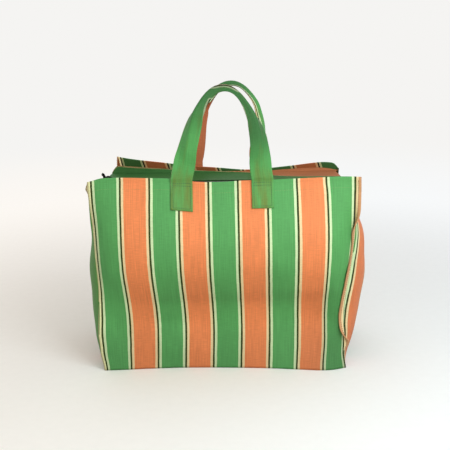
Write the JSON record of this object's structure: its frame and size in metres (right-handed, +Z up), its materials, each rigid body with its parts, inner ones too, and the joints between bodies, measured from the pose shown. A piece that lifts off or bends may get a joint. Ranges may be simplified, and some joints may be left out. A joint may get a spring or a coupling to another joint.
{
  "type": "foldable tote bag",
  "caption": "Wide striped cloth tote bag with side gussets, upright strap handles and a zip across its mouth; it stands open and folds flat front to back.",
  "frame": {"origin": "centre of the base's underside, midway between the side seams and between the seam planes of the front and back walls, on the surface that the bag stands on", "axes": "+Z up, +X along the zip towards its lower end, -Y out of the front wall"},
  "size_m": [0.544, 0.2809, 0.5438],
  "materials": {
    "striped_cloth": "plain-woven glossy yarn in green and orange stripes with cream and black pinstripes",
    "strap_cloth": "folded and sewn strips of the same green cloth, pinstriped at the edges",
    "zip_tape": "black woven tape",
    "zip_teeth": "black moulded plastic",
    "zip_metal": "dark plated metal",
    "thread": "sewing thread"
  },
  "bodies": {
    "bag": {"back_panel": "striped_cloth", "left_gusset": "striped_cloth", "right_gusset": "striped_cloth", "base_panel": "striped_cloth", "back_facing": "striped_cloth", "left_gusset_hem": "striped_cloth", "right_gusset_hem": "striped_cloth", "back_handle_ends": "strap_cloth", "back_handle_stitching": "thread", "back_rim_stitching": "thread", "back_seam_stitching": "thread"},
    "front": {"front_panel": "striped_cloth", "front_facing": "striped_cloth", "front_handle_ends": "strap_cloth", "front_handle_stitching": "thread", "front_rim_stitching": "thread", "front_seam_stitching": "thread"},
    "front_handle": {"front_handle_loop": "strap_cloth"},
    "back_handle": {"back_handle_loop": "strap_cloth"},
    "front_flap": {"front_zip_band": "striped_cloth", "front_zip_tape": "zip_tape", "front_band_stitching": "thread"},
    "back_flap": {"back_zip_band": "striped_cloth", "back_zip_tape": "zip_tape", "back_band_stitching": "thread"},
    "front_chain": {"front_zip_teeth": "zip_teeth", "front_zip_stop": "zip_metal"},
    "back_chain": {"back_zip_teeth": "zip_teeth", "back_zip_stop": "zip_metal", "zip_bottom_stop": "zip_metal"},
    "slider": {"zip_slider": "zip_metal"},
    "pull": {"zip_pull": "zip_metal", "zip_pull_pin": "zip_metal"}
  },
  "joints": [
    {"name": "fold_flat", "type": "slide", "parent": "bag", "child": "front", "axis": [0, -1, 0], "range_m": [-0.205, 0], "deforming": ["left_gusset", "right_gusset", "base_panel", "left_gusset_hem", "right_gusset_hem", "front_zip_band", "back_zip_band", "front_zip_tape", "back_zip_tape", "front_band_stitching", "back_band_stitching"]},
    {"name": "front_handle_swing", "type": "hinge", "parent": "front", "child": "front_handle", "pos_m": [-0.007, -0.1208, 0.375], "axis": [1, 0, 0], "range_deg": [0, 145]},
    {"name": "back_handle_swing", "type": "hinge", "parent": "bag", "child": "back_handle", "pos_m": [0, 0.1208, 0.375], "axis": [-1, 0, 0], "range_deg": [0, 145]},
    {"name": "back_flap_open", "type": "hinge", "parent": "bag", "child": "back_flap", "pos_m": [0, 0.1152, 0.3497], "axis": [1, 0, 0], "range_deg": [0, 85]},
    {"name": "front_flap_open", "type": "hinge", "parent": "front", "child": "front_flap", "pos_m": [0, -0.1152, 0.3497], "axis": [-1, 0, 0], "range_deg": [0, 85]},
    {"name": "back_chain_draw", "type": "slide", "parent": "back_flap", "child": "back_chain", "axis": [0, -1, 0], "range_m": [-0.1025, 0]},
    {"name": "front_chain_draw", "type": "slide", "parent": "front_flap", "child": "front_chain", "axis": [0, 1, 0], "range_m": [-0.1025, 0]},
    {"name": "slider_travel", "type": "slide", "parent": "back_chain", "child": "slider", "axis": [1, 0, 0], "range_m": [0, 0.456], "deforming": ["front_zip_teeth"]},
    {"name": "pull_swing", "type": "hinge", "parent": "slider", "child": "pull", "pos_m": [-0.2318, 0, 0.3541], "axis": [0, -1, 0], "range_deg": [0, 150]}
  ],
  "couplings": [
    {"joint": "front_flap_open", "follows": "back_flap_open", "ratio": 1},
    {"joint": "slider_travel", "follows": "back_flap_open", "m_per_rad": 0.3073},
    {"joint": "back_chain_draw", "follows": "fold_flat", "ratio": 0.5},
    {"joint": "front_chain_draw", "follows": "fold_flat", "ratio": 0.5}
  ]
}
